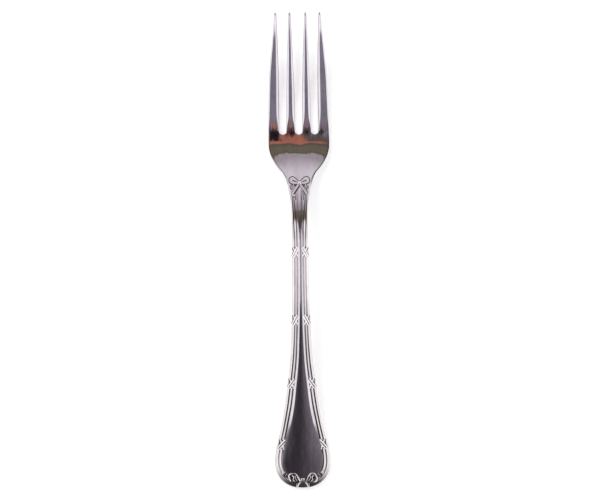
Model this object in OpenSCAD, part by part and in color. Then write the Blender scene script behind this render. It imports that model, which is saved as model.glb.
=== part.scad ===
/* [Lengths] */
// Length of the decorated handle, from its round end to the start of the neck
handle_len = 124.2; // [105:0.1:140]
// Length of the plain neck, from the handle to the palm
neck_len = 14.8; // [12:0.1:20]
// Length of the palm, from the neck to the ends of the slots
palm_len = 15.2; // [12:0.1:20]
// Length of the tines beyond the palm
tine_len = 50.8; // [35:0.1:60]

/* [Head] */
// Width over the outer tines
head_w = 26.2; // [24:0.1:30]
// Distance between the middles of two slots
slot_pitch = 6.85; // [6.2:0.05:7.6]
// Width of a slot at its round bottom
slot_w = 3; // [2.5:0.1:3.6]
// Width of a tine at its tip
tip_w = 1.2; // [1:0.05:1.8]
// Distance from the middle of the fork to the middle of an inner tip
inner_tip_x = 3.4; // [3:0.05:3.8]
// Distance from the middle of the fork to the middle of an outer tip
outer_tip_x = 9.5; // [9:0.05:11]
// Length of the flare from the slim stem to the full width of the head
flare_len = 32; // [26:0.5:38]
// How far the edges of the palm rise above its middle
dish_h = 0.9; // [0:0.1:2]
// Thickness of the palm
palm_t = 2; // [1.6:0.1:2.6]
// Thickness of a tine half way along
tine_t = 1.85; // [1.5:0.05:2.4]
// Thickness of a tine at its tip
tip_t = 1.2; // [0.9:0.05:1.6]
// Width of the bevels on both sides of a tine and round the slots
tine_bevel_w = 0.8; // [0.5:0.05:1]
// Depth of these bevels at the edge
tine_bevel_h = 0.5; // [0.3:0.05:0.6]
// Bevel along the upper edges of the palm
bevel = 0.32; // [0.15:0.01:0.45]
// Bevel along the lower edges of the tines and the palm
under_bevel = 0.4; // [0.2:0.01:0.5]

/* [Side view] */
// Height of the top of the arch above the table
crest_h = 14.4; // [10:0.1:20]
// Height of the tips above the table, over their upper face
tip_h = 13.2; // [8:0.1:20]
// Distance of the top of the arch from the end of the handle
crest_y = 106; // [85:0.5:110]
// Slope of the neck down to the palm, in degrees
neck_slope = 24; // [15:0.5:30]
// Slope of the tines at their tips, in degrees
tip_slope = 23; // [12:0.5:30]
// Slope of the round end of the handle, in degrees
end_slope = 1.2; // [0:0.1:3]
// Distance of the lowest point of the palm from the ends of the slots
bowl_back = 4.5; // [2:0.1:6]
// Depth of the flat that is worn where the fork rests
rest_flat = 0.12; // [0.05:0.01:0.2]

/* [Handle] */
// Width of the handle at its widest
handle_w = 24.1; // [18:0.1:28]
// Width of the slim stem
stem_w = 7.4; // [6.6:0.1:9]
// Length of the slim stem before it starts to flare
stem_len = 18; // [10:0.5:24]
// Distance from the round end to the widest place
end_len = 11.6; // [9:0.1:14]
// How square the round end is, where 2 is an ellipse
end_square = 2.2; // [2:0.05:2.6]
// Thickness of the handle at its round end
end_t = 2.4; // [2:0.1:3]
// Thickness of the handle half way along
mid_t = 2.9; // [2.4:0.1:3.4]
// Thickness of the stem at the top of the arch
stem_t = 3.5; // [3:0.1:4.2]
// Thickness of the neck
neck_t = 3.3; // [2.8:0.1:4]
// How far the lower face rises at its edges under the handle and the neck
under_rise = 0.8; // [0.4:0.05:1.1]
// Height of the gentle crown of the centre panel
panel_crown = 0.15; // [0:0.01:0.3]

/* [Border] */
// Width of the border at the round end
border_end_w = 4.3; // [3.6:0.1:4.6]
// Width of the border on the stem
border_stem_w = 3.3; // [3:0.05:3.35]
// Width of the border where it starts under the neck
border_start_w = 2.3; // [2:0.1:3]
// Depth of the grooves between the reeds
groove_d = 0.5; // [0.3:0.01:0.6]
// How far the outer reed lies below the centre panel
reed_drop = 0.1; // [0:0.01:0.2]
// Length over which the reeds rise out of the plain neck
fade_len = 6; // [3:0.5:10]
// Length of a crossed ribbon tie along the border
tie_len = 4.6; // [4:0.1:6]
// Width of the ribbon of a tie
tie_ribbon_w = 0.85; // [0.6:0.05:1]
// Height of the ribbon of a tie over its sunk seat
tie_ribbon_h = 0.5; // [0.3:0.05:0.7]
// Clearance where the lower ribbon of a tie meets the upper one
tie_clearance = 0.03; // [0.02:0.01:0.1]

/* [Bows] */
// Width of the bow on the neck
neck_bow_w = 9.4; // [8:0.1:9.8]
// Height of the ribbon of the bow on the neck
neck_bow_h = 0.38; // [0.2:0.01:0.6]
// Distance of the knot of the neck bow from the start of the neck
neck_bow_y = 7.1; // [6.8:0.1:7.3]
// Width of the bow at the round end
end_bow_w = 12.8; // [10:0.1:13]
// Height of the ribbon of the bow at the round end
end_bow_h = 0.45; // [0.2:0.01:0.6]
// Distance of the knot of the end bow from the round end
end_bow_y = 3.5; // [3.45:0.05:3.7]

/* [Hidden] */

// Places along the fork, from the round end of the handle to the tips
palm_y = handle_len + neck_len;
root_y = palm_y + palm_len;
fork_len = root_y + tine_len;
flare_end_share = 0.41;
flare_y = root_y - palm_len * flare_end_share - flare_len;
taper_len = flare_y - stem_len - end_len;
bowl_y = root_y - bowl_back;
seat_share = 0.73;
seat_len = neck_len * seat_share;
seat_end_y = handle_len + seat_len;

// Heights of the upper face at the places that shape the side view
end_top = end_t - rest_flat;
bowl_top = palm_t - rest_flat;
seat_mid_z = (crest_h + bowl_top) / 2;
seat_drop = tan(neck_slope) * seat_len / 2;
end_flat_share = 0.0645;
end_flat_y = handle_len * end_flat_share;
low_share = [0.236, 0.27];
high_share = [0.566, 0.71];
profile = [
    [0, end_top, tan(end_slope)],
    [end_flat_y, end_top + end_flat_y * tan(end_slope), tan(end_slope)],
    [crest_y * low_share[0], crest_h * low_share[1]],
    [crest_y * high_share[0], crest_h * high_share[1]],
    [crest_y, crest_h, 0],
    [handle_len, seat_mid_z + seat_drop, -tan(neck_slope)],
    [seat_end_y, seat_mid_z - seat_drop, -tan(neck_slope)],
    [bowl_y, bowl_top, 0],
    [fork_len, tip_h, tan(tip_slope)]];
thickness = [
    [0, end_t],
    [end_flat_y, end_t],
    [crest_y * high_share[0], mid_t],
    [crest_y, stem_t],
    [handle_len, neck_t],
    [bowl_y, palm_t],
    [(root_y + fork_len) / 2, tine_t],
    [fork_len, tip_t]];

// Shape of the handle from its widest place to the stem, and of the flare into the head
taper_shares = [[0, 1], [0.09, 0.85], [0.18, 0.635], [0.274, 0.455], [0.364, 0.335],
    [0.486, 0.18], [0.608, 0.096], [0.79, 0.024], [1, 0]];
flare_shares = [[0, 0], [0.16, 0.02], [0.27, 0.045], [0.43, 0.13], [0.55, 0.235], [0.63, 0.37],
    [0.69, 0.54], [0.75, 0.7], [0.81, 0.82], [0.875, 0.92], [0.95, 0.985], [1, 1]];
// How the tines narrow along their length
inner_narrow_shares = [[0, 1], [0.1, 0.925], [0.3, 0.887], [0.47, 0.68], [0.62, 0.49],
    [0.73, 0.34], [0.82, 0.21], [0.88, 0.11], [0.94, 0.04], [0.97, 0]];
outer_inside_shares = [[0, 0], [0.47, 0], [0.62, 0.2], [0.73, 0.4], [0.82, 0.65], [0.88, 0.8],
    [0.97, 1]];
outer_outside_shares = [[0, 0], [0.1, 0.02], [0.3, 0.117], [0.47, 0.217], [0.62, 0.417],
    [0.73, 0.6], [0.82, 0.767], [0.88, 0.867], [0.94, 0.95], [0.97, 1]];
tine_bevel_share = 0.27;
tine_row_shares = [0, 0.03, 0.065, 0.13, 0.21, 0.3, 0.39, 0.48, 0.57, 0.66, 0.75, 0.84, 0.92, 0.97];
tip_row_shares = [0.985, 0.994, 1];
tip_round_shares = [0.86, 0.6, 0.2];
palm_row_shares = [0, 0.2, 0.4, 0.6, 0.8, 0.947, 1];

// Shares of the border's width: the walls between the reeds and the middles of their crowns
outer_wall_share = 0.36;
inner_wall_share = 0.7;
outer_crown_share = [0.17, 0.19];
inner_crown_share = [0.53, 0.16];
outer_cut_shares = [0, 0.04, 0.11, 0.19, 0.28, 0.36];
inner_cut_shares = [0.36, 0.41, 0.47, 0.53, 0.59, 0.65, 0.7];
fillet_shares = [0.7, 0.79, 0.89, 1];
border_taper_share = 0.75;
tie_shares = [0.82, 0.585, 0.366, 0.155];
border_start_share = 2.7;
ribbon_cross_shares = [[-1, 0.3], [-0.62, 0.86], [0, 1], [0.62, 0.86], [1, 0.3]];
tie_ramp_share = 0.06;
tie_start_share = [0.63, 0.14];
tie_stop_share = [0.07, 0.86];
reed_step = 4.2;
inner_reed_turn = 38;
outer_reed_turn = 76;
arc_steps = 4;
tip_turn_shares = [0.4, 0.75, 0.95];
knot_cuts = 4;
neck_cuts = 12;
slot_turns = [-60:30:60];
edge_round = 0.7;
edge_cut_shares = [0, 0.3, 0.65, 1];
end_lip = 0.3;
end_lip_share = 0.25;
rise_power = 3;
neck_power = 8;
tiny = 0.01;

// Ribbon paths of the bows, as shares of the width of the bow, from the middle of the knot
neck_loop_shares = [[0.07, 0.045], [0.175, 0.145], [0.285, 0.222], [0.38, 0.222], [0.428, 0.14],
    [0.385, 0.058], [0.255, 0.01], [0.155, -0.012], [0.07, -0.03]];
neck_drape_shares = [[0.13, -0.14], [0.24, -0.14], [0.35, -0.12], [0.4, -0.2], [0.34, -0.32]];
neck_tail_shares = [[0.042, -0.087], [0.115, -0.185], [0.2, -0.31], [0.29, -0.44], [0.335, -0.53]];
neck_pleat_shares = [[0.1, -0.35], [0.185, -0.46], [0.255, -0.57]];
neck_curl_shares = [[-0.042, -0.087], [-0.112, -0.19], [-0.205, -0.33], [-0.29, -0.46],
    [-0.32, -0.55], [-0.275, -0.61], [-0.215, -0.585], [-0.225, -0.53]];
neck_knot_share = [0.077, -0.087, 0.097];
end_loop_shares = [[0.06, 0.02], [0.13, 0.07], [0.195, 0.16], [0.29, 0.215], [0.38, 0.195],
    [0.45, 0.12], [0.465, 0.03], [0.4, -0.045], [0.28, -0.07], [0.17, -0.055], [0.06, -0.025]];
end_fold_shares = [[0.35, 0.16], [0.325, 0.06], [0.29, -0.035]];
end_arch_shares = [[-0.185, -0.245], [-0.15, -0.165], [-0.085, -0.09], [0, -0.06], [0.085, -0.09],
    [0.15, -0.165], [0.185, -0.245]];
end_knot_share = [0.06, -0.04, 0.06];
neck_ribbon_share = 0.1;
neck_tail_share = 0.08;
end_ribbon_share = 0.055;
end_arch_share = 0.045;
slim_share = 0.036;
knot_h_share = 1.5;
knot_fall_share = 0.33;
loop_neck_share = 0.5;

// Blends, and smooth curves through the rows of a table
function blend(a, b, t) = a + (b - a) * t;
function limited(t) = min(1, max(0, t));
function eased(t) = limited(t) * limited(t) * (3 - 2 * limited(t));
function span(table, x, i = 0) =
    i >= len(table) - 2 || x < table[i + 1][0] ? i : span(table, x, i + 1);
function slope_at(table, i) =
    len(table[i]) > 2 ? table[i][2]
    : i == 0 || i == len(table) - 1 ? 0
    : (table[i + 1][1] - table[i - 1][1]) / (table[i + 1][0] - table[i - 1][0]);
function curve(table, x) =
    let (i = span(table, x))
    let (a = table[i], b = table[i + 1], w = b[0] - a[0], t = limited((x - a[0]) / w))
    (2 * t * t * t - 3 * t * t + 1) * a[1] + (t * t * t - 2 * t * t + t) * slope_at(table, i) * w
    + (3 * t * t - 2 * t * t * t) * b[1] + (t * t * t - t * t) * slope_at(table, i + 1) * w;

// Outline of the handle, neck and palm: half the width at a place
function half_w(y) =
    y < end_len + taper_len
    ? blend(stem_w, handle_w, curve(taper_shares, limited((y - end_len) / taper_len))) / 2
    : blend(stem_w, head_w, curve(flare_shares, limited((y - flare_y) / flare_len))) / 2;

// Upper and lower faces
function dish(y) = dish_h * eased((y - seat_end_y) / (bowl_y - seat_end_y));
function top_z(x, y) = curve(profile, y) + dish(y) * pow(2 * x / head_w, 2);
function under_z(x, y, rise) = max(0, top_z(x, y) - curve(thickness, y) + rise);
function rise_at(q) = under_rise * pow(q, rise_power);
function round_drop(d) = edge_round / 2 * pow(1 - limited(d / edge_round), 2);

// A closed solid between an upper and a lower grid of points, rows first
module plate(top, under) {
    rows = len(top);
    cols = len(top[0]);
    lower = rows * cols;
    points = [for (grid = [top, under]) for (row = grid) for (p = row) p];
    quads = concat(
        [for (j = [0:rows - 2]) for (i = [0:cols - 2])
            [j * cols + i, (j + 1) * cols + i, (j + 1) * cols + i + 1, j * cols + i + 1]],
        [for (j = [0:rows - 2]) for (i = [0:cols - 2])
            [lower + j * cols + i, lower + j * cols + i + 1,
                lower + (j + 1) * cols + i + 1, lower + (j + 1) * cols + i]],
        [for (j = [0:rows - 2]) for (e = [0, cols - 1])
            let (a = j * cols + e, b = a + cols)
            e == 0 ? [b, a, lower + a, lower + b] : [a, b, lower + b, lower + a]],
        [for (i = [0:cols - 2]) for (e = [0, rows - 1])
            let (a = e * cols + i, b = a + 1)
            e == 0 ? [a, b, lower + b, lower + a] : [b, a, lower + a, lower + b]]);
    polyhedron(points, [for (q = quads) for (k = [1, 2]) [q[0], q[k], q[k + 1]]]);
}

// The fork is drawn from the end of the handle and set with its middle over the origin
module placed() {
    translate([0, -fork_len / 2, 0]) children();
}

// Border stations: rim point, inward direction, border width and reach to the middle
function border_w(y) =
    blend(border_stem_w, border_end_w, eased(1 - (y - end_len) / (taper_len * border_taper_share)))
    - (border_stem_w - border_start_w) * eased(1 - (handle_len - y) / (border_start_share * fade_len));
function fade(y) = eased((handle_len - y) / fade_len);
function rim_lean(y) = (half_w(y + tiny) - half_w(y - tiny)) / (2 * tiny) * fade(y);
function side_station(y) =
    let (lean = rim_lean(y), size = norm([1, lean]))
    station([half_w(y), y], [-1 / size, lean / size]);
function turn_station(a) =
    let (u = pow(cos(a), 2 / end_square), v = pow(sin(a), 2 / end_square))
    let (gx = 2 * pow(u, end_square - 1) / handle_w, gy = pow(v, end_square - 1) / end_len)
    station([u * handle_w / 2, end_len * (1 - v)], [-gx, gy] / norm([gx, gy]));
function station(rim, inward) =
    let (w = border_w(rim[1]))
    [rim, inward, w, rim[0] + inward[0] * w * inner_wall_share + w * inner_wall_share];
function at_share(s, share) = s[0] + s[1] * s[2] * share;
function q_at(s, share) = 1 - share * s[2] / s[3];

// Places of the stations: the side is cut at both ends of every tie
tie_ends = [for (share = tie_shares) for (e = [1, -1]) share * handle_len + e * tie_len / 2];
marks = concat([handle_len], tie_ends, [end_len]);
function steps(k) = k % 2 == 1 ? 1 : ceil((marks[k] - marks[k + 1]) / reed_step);
side_stations = [for (k = [0:len(marks) - 2]) for (j = [0:steps(k) - 1])
    side_station(blend(marks[k], marks[k + 1], j / steps(k)))];
inner_turns = [for (j = [0:arc_steps]) turn_station(inner_reed_turn * j / arc_steps)];
outer_turns = [for (j = [1:arc_steps])
    turn_station(blend(inner_reed_turn, outer_reed_turn, j / arc_steps))];
inner_stations = concat(side_stations, inner_turns);
outer_stations = concat(inner_stations, outer_turns);
function is_tie(s) = len([for (k = [0:2:len(tie_ends) - 1]) if (abs(s[0][1] - tie_ends[k]) < tiny) k]) > 0;

// Relief of the border: how far its surface lies below the panel
function crown(share, place) = sqrt(max(0, 1 - pow((share - place[0]) / place[1], 2)));
function relief(share) =
    share < outer_wall_share
    ? blend(groove_d, reed_drop, crown(share, outer_crown_share))
    : share < inner_wall_share
    ? blend(groove_d, 0, crown(share, inner_crown_share))
    : groove_d * (1 - eased((share - inner_wall_share) / (1 - inner_wall_share)));
function border_drop(s, share) = blend(round_drop(share * s[2]), relief(share), fade(s[0][1]));
function border_top(s, share) =
    let (p = at_share(s, share))
    [p[0], p[1], top_z(p[0], p[1]) - border_drop(s, share)];
function border_under(s, share) =
    let (p = at_share(s, share))
    [p[0], p[1], under_z(p[0], p[1], rise_at(q_at(s, share)))];

// The sunk seat of a tie is a plane: its height at y = 0 and its slope along y
function tie_plane(a, b) =
    let (za = curve(profile, a), zb = curve(profile, b), k = (zb - za) / (b - a))
    [za - k * a - groove_d, k];
function on_plane(p, plane) = [p[0], p[1], plane[0] + plane[1] * p[1]];

// One reed: a long strip of the full thickness, sunk to a flat seat at every tie
module reed(stations, shares) {
    rows = [for (k = [0:len(stations) - 1])
        let (a = stations[k])
        each concat([[for (c = shares) [border_top(a, c), border_under(a, c)]]],
            is_tie(a) ? tie_rows(a, stations[k + 1], shares) : [])];
    plate([for (row = rows) [for (pair = row) pair[0]]], [for (row = rows) [for (pair = row) pair[1]]]);
}
function tie_rows(a, b, shares) =
    [for (t = [tie_ramp_share, 1 - tie_ramp_share]) [for (c = shares)
        let (under = blend(border_under(a, c), border_under(b, c), t))
        [on_plane(under, tie_plane(a[0][1], b[0][1])), under]]];

// A ribbon on a flat seat: a path, a table of its width, and how its ends are cut
function path_point(points, t) =
    let (n = len(points) - 1, i = min(n - 1, floor(t)), u = t - i)
    let (b = points[i], c = points[i + 1])
    let (a = i > 0 ? points[i - 1] : 2 * b - c, d = i < n - 1 ? points[i + 2] : 2 * c - b)
    b + (c - a) * u / 2 + (2 * a - 5 * b + 4 * c - d) * u * u / 2
    + (3 * b - a - 3 * c + d) * u * u * u / 2;
function right_of(d) = [d[1], -d[0]] / norm(d);
function even(a, b) = [[0, a], [1, b]];
module ribbon(points, w, h, plane, rows, first = undef, last = undef) {
    n = len(points) - 1;
    cuts = [for (k = [0:rows])
        let (t = n * k / rows, p = path_point(points, t))
        let (d = path_point(points, min(n, t + tiny)) - path_point(points, max(0, t - tiny)))
        [p, k == 0 && !is_undef(first) ? first
            : k == rows && !is_undef(last) ? last
            : right_of(d) * curve(w, k / rows) / 2]];
    under = [for (c = cuts) [for (s = ribbon_cross_shares) on_plane(c[0] + c[1] * s[0], plane)]];
    plate([for (row = under) [for (i = [0:len(row) - 1])
        row[i] + [0, 0, h * ribbon_cross_shares[i][1]]]], under);
}

// A knot: a small cushion with four upright sides
module knot(middle, size, share, h, plane) {
    rows = knot_cuts;
    grid = [for (j = [0:rows]) [for (i = [0:rows])
        let (u = 2 * i / rows - 1, v = j / rows)
        [on_plane(middle + size * [share[0] * u, blend(share[1], share[2], v)], plane),
            h * (1 - knot_fall_share * pow(u, 2)) * (1 - knot_fall_share * pow(2 * v - 1, 2))]]];
    plate([for (row = grid) [for (g = row) g[0] + [0, 0, g[1]]]], [for (row = grid) [for (g = row) g[0]]]);
}

// Seats of the two bows, as planes
neck_plane = [seat_mid_z + seat_drop + tan(neck_slope) * handle_len, -tan(neck_slope)];
end_plane = [end_top, tan(end_slope)];
neck_knot = [0, handle_len + neck_bow_y];
end_knot = [0, end_bow_y];
function bow_path(middle, size, shares, side = 1) =
    [for (s = shares) middle + size * [s[0] * side, s[1]]];

// Both bows in the same way: a loop on each side of the knot, drawn in where it leaves the knot
module bow_loops(middle, size, w, loop, knot_share, h, plane) {
    neck_w = w * loop_neck_share;
    for (side = [1, -1]) {
        up = [0, neck_w / 2];
        ribbon(bow_path(middle, size, loop, side), [[0, neck_w], [0.3, w], [0.7, w], [1, neck_w]],
            h, plane, 18, -side * up, side * up);
    }
    knot(middle, size, knot_share, knot_h_share * h, plane);
}

module neck_bow() {
    w = neck_bow_w * neck_tail_share;
    slim = neck_bow_w * slim_share;
    across = [-w / 2, 0];
    color("gainsboro") placed() {
        bow_loops(neck_knot, neck_bow_w, neck_bow_w * neck_ribbon_share, neck_loop_shares,
            neck_knot_share, neck_bow_h, neck_plane);
        for (side = [1, -1])
            ribbon(bow_path(neck_knot, neck_bow_w, neck_drape_shares, side), even(slim, slim),
                neck_bow_h, neck_plane, 7);
        ribbon(bow_path(neck_knot, neck_bow_w, neck_tail_shares), even(w, slim), neck_bow_h,
            neck_plane, 6, across);
        ribbon(bow_path(neck_knot, neck_bow_w, neck_pleat_shares), even(slim, slim), neck_bow_h,
            neck_plane, 3);
        ribbon(bow_path(neck_knot, neck_bow_w, neck_curl_shares), even(w, slim / 2), neck_bow_h,
            neck_plane, 14, across);
    }
}

module end_bow() {
    slim = end_bow_w * slim_share;
    arch_w = end_bow_w * end_arch_share;
    color("gainsboro") placed() {
        bow_loops(end_knot, end_bow_w, end_bow_w * end_ribbon_share, end_loop_shares,
            end_knot_share, end_bow_h, end_plane);
        for (side = [1, -1])
            ribbon(bow_path(end_knot, end_bow_w, end_fold_shares, side), even(slim, slim), end_bow_h,
                end_plane, 3);
        ribbon(bow_path(end_knot, end_bow_w, end_arch_shares), even(arch_w, arch_w), end_bow_h,
            end_plane, 12);
    }
}

// The four ties of one side: one ribbon runs over, and the other meets it from both sides
module ties() {
    for (k = [0:len(side_stations) - 2])
        if (is_tie(side_stations[k])) tie(side_stations[k], side_stations[k + 1]);
}
module tie(a, b) {
    plane = tie_plane(a[0][1], b[0][1]);
    start = tie_point(a, b, tie_start_share);
    stop = tie_point(a, b, tie_stop_share);
    low = tie_point(a, b, [tie_stop_share[0], tie_start_share[1]]);
    far = tie_point(a, b, [tie_start_share[0], tie_stop_share[1]]);
    over = (stop - start) / norm(stop - start);
    middle = (start + stop) / 2;
    ribbon([start, stop], even(tie_ribbon_w, tie_ribbon_w), tie_ribbon_h, plane, 4);
    for (tail = [low, far]) {
        d = (middle - tail) / norm(middle - tail);
        lean = abs(cross(d, over));
        meet = middle - d * (tie_ribbon_w / 2 + tie_clearance) / lean;
        cut = over * sign(over * right_of(d)) * tie_ribbon_w / 2 / lean;
        ribbon([tail, meet], even(tie_ribbon_w, tie_ribbon_w), tie_ribbon_h, plane, 3, undef, cut);
    }
}
function tie_point(a, b, share) = blend(at_share(a, share[0]), at_share(b, share[0]), share[1]);

// The centre panel: cut across at every station, from the neck to the round end
module handle_panel() {
    rows = [for (s = inner_stations)
        let (wall = at_share(s, inner_wall_share), inner = wall[0] - s[2] * (1 - inner_wall_share))
        let (half = [for (c = fillet_shares) [wall[0] - s[2] * (c - inner_wall_share), c]])
        let (cuts = concat(half, [[inner / 2, 1], [0, 1], [-inner / 2, 1]],
            [for (i = [len(half) - 1:-1:0]) [-half[i][0], half[i][1]]]))
        [for (c = cuts)
            let (x = c[0], y = wall[1], q = q_at(s, inner_wall_share) * abs(x) / wall[0])
            let (swell = panel_crown * eased((y - end_flat_y) / end_len) * fade(y)
                * (1 - pow(x / wall[0], 2)))
            let (drop = blend(round_drop(c[1] * s[2]), relief(c[1]), fade(s[0][1])))
            [[x, y, top_z(x, y) - drop + swell], [x, y, under_z(x, y, rise_at(q))]]]];
    color("dimgray") placed()
        plate([for (row = rows) [for (p = row) p[0]]], [for (row = rows) [for (p = row) p[1]]]);
}

// The round end between the reeds: a flat seat for the bow, open to the rim in its middle
module handle_end() {
    last = inner_stations[len(inner_stations) - 1];
    walls = concat([last], outer_turns);
    stop = outer_turns[arc_steps - 1];
    tip_turns = [for (a = tip_turn_shares) turn_station(blend(outer_reed_turn, 90, a))];
    spots = concat([[at_share(last, inner_wall_share), q_at(last, inner_wall_share), 0]],
        [for (s = walls) [at_share(s, outer_wall_share), q_at(s, outer_wall_share), groove_d]],
        [for (s = concat([stop], tip_turns)) [s[0], 1, bevel / 2]]);
    rows = [for (k = [0:len(spots) - 1])
        let (s = spots[k], hx = s[0][0], y = k == len(spots) - 1 ? 0 : s[0][1])
        let (lip = 1 - min(end_lip, hx * end_lip_share) / hx)
        [for (c = [[1, 1], [lip, 0], [0.5, 0], [0, 0], [-0.5, 0], [-lip, 0], [-1, 1]])
            let (x = hx * c[0], rise = rise_at(s[1] * abs(c[0])))
            [[x, y, top_z(x, y) - s[2] * c[1]], [x, y, under_z(x, y, rise)]]]];
    color("silver") placed()
        plate([for (row = rows) [for (p = row) p[0]]], [for (row = rows) [for (p = row) p[1]]]);
}

// The neck: a plain shank with a flat land for the bow, widening into the palm
module neck() {
    rows = [for (j = [0:neck_cuts])
        let (t = j / neck_cuts, y = blend(handle_len, palm_y, t), hx = half_w(y))
        let (side = [for (d = edge_cut_shares) [hx - edge_round * d, round_drop(edge_round * d)]])
        let (across = concat([for (s = side) [-s[0], s[1]]], [[-hx / 2, 0], [0, 0], [hx / 2, 0]],
            [for (i = [len(side) - 1:-1:0]) side[i]]))
        let (power = blend(rise_power, neck_power, t), rise = blend(under_rise, under_bevel, t))
        [for (a = across)
            [[a[0], y, top_z(a[0], y) - a[1]],
                [a[0], y, under_z(a[0], y, rise * pow(abs(a[0]) / hx, power))]]]];
    color("lightgray") placed()
        plate([for (row = rows) [for (p = row) p[0]]], [for (row = rows) [for (p = row) p[1]]]);
}

// Inner and outer edges of the tines, from the palm at t = 0 to the tip at t = 1
function inner_tine(t) =
    let (middle = blend(slot_pitch / 2, inner_tip_x, t))
    let (w = blend(tip_w, slot_pitch - slot_w, curve(inner_narrow_shares, t)))
    [middle - w / 2, middle + w / 2];
function outer_tine(t) =
    [blend(slot_pitch + slot_w / 2, outer_tip_x - tip_w / 2, curve(outer_inside_shares, t)),
        blend(head_w / 2, outer_tip_x + tip_w / 2, curve(outer_outside_shares, t))];
function tine_bevel(w) = min(tine_bevel_w, w * tine_bevel_share);
function bevelled(x, y, t, drop, scale) =
    let (mid = top_z(x, y) - t / 2, under = drop > 0 ? under_bevel : 0)
    [[x, y, mid + (t / 2 - drop) * scale], [x, y, max(0, mid - (t / 2 - under) * scale)]];

// One tine: a bevelled bar that follows the sweep of the head and ends in a round tip
module tine(outer) {
    shares = concat([for (t = tine_row_shares) [t, 1]],
        [for (i = [0:len(tip_row_shares) - 1]) [tip_row_shares[i], tip_round_shares[i]]]);
    rows = [for (s = shares)
        let (edges = outer ? outer_tine(s[0]) : inner_tine(s[0]), y = root_y + tine_len * s[0])
        let (middle = (edges[0] + edges[1]) / 2, half = (edges[1] - edges[0]) / 2 * s[1])
        let (soft = tine_bevel(2 * half), drop = tine_bevel_h * soft / tine_bevel_w)
        [for (c = [[-half, 1], [soft - half, 0], [0, 0], [half - soft, 0], [half, 1]])
            bevelled(middle + c[0], y, curve(thickness, y), c[1] * drop, s[1])]];
    plate([for (row = rows) [for (p = row) p[0]]], [for (row = rows) [for (p = row) p[1]]]);
}

// The palm: columns of points that end square at the tines and round at the slots
function tine_columns(edges) =
    let (soft = tine_bevel(edges[1] - edges[0]))
    [for (x = [edges[0], edges[0] + soft, (edges[0] + edges[1]) / 2, edges[1] - soft, edges[1]])
        [x, root_y, x == edges[0] || x == edges[1] ? 1 : 0]];
function slot_columns(x) =
    [for (a = slot_turns) [x + slot_w / 2 * sin(a), root_y - slot_w / 2 * cos(a), 1]];
function flipped(list) = [for (i = [len(list) - 1:-1:0]) [-list[i][0], list[i][1], list[i][2]]];
module palm() {
    right = concat(tine_columns(inner_tine(0)), slot_columns(slot_pitch), tine_columns(outer_tine(0)));
    columns = concat(flipped(right), slot_columns(0), right);
    count = len(columns) - 1;
    rows = [for (v = palm_row_shares) [for (i = [0:count])
        let (c = columns[i], y = blend(palm_y, c[1], v))
        let (x = half_w(y) * blend(2 * c[0] / head_w, c[0] / half_w(c[1]), v))
        let (drop = v == 1 && c[2] == 1 ? tine_bevel_h : i == 0 || i == count ? bevel : 0)
        bevelled(x, y, curve(thickness, y), drop, 1)]];
    color("lightgray") placed()
        plate([for (row = rows) [for (p = row) p[0]]], [for (row = rows) [for (p = row) p[1]]]);
}

// Left-hand pieces are the mirror images of the right-hand ones
module left() {
    mirror([1, 0, 0]) children();
}
module tine_outer_right() {
    color("silver") placed() tine(true);
}
module tine_inner_right() {
    color("silver") placed() tine(false);
}
module tine_outer_left() {
    left() tine_outer_right();
}
module tine_inner_left() {
    left() tine_inner_right();
}
module reed_outer_right() {
    color("whitesmoke") placed() reed(outer_stations, outer_cut_shares);
}
module reed_inner_right() {
    color("whitesmoke") placed() reed(inner_stations, inner_cut_shares);
}
module reed_outer_left() {
    left() reed_outer_right();
}
module reed_inner_left() {
    left() reed_inner_right();
}
module ribbon_ties_right() {
    color("gainsboro") placed() ties();
}
module ribbon_ties_left() {
    left() ribbon_ties_right();
}

tine_outer_left();
tine_inner_left();
tine_inner_right();
tine_outer_right();
palm();
neck();
neck_bow();
handle_panel();
reed_outer_left();
reed_outer_right();
reed_inner_left();
reed_inner_right();
ribbon_ties_left();
ribbon_ties_right();
handle_end();
end_bow();
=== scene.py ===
import math
import bmesh
import bpy
import numpy as np
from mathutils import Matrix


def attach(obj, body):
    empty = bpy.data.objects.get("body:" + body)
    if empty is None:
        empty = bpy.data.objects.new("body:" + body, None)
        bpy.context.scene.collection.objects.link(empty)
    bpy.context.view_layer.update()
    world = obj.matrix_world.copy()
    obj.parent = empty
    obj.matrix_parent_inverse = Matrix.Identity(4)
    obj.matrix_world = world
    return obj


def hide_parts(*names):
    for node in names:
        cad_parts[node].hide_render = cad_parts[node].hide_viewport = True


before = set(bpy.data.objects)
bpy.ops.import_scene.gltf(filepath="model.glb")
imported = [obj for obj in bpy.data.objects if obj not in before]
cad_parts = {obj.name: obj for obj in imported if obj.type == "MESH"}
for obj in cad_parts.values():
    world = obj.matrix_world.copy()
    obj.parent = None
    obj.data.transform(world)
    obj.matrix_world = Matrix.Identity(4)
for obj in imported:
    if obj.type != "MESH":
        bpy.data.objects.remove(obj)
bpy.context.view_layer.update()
print("stage: frame loaded")

mm = 0.001

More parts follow.
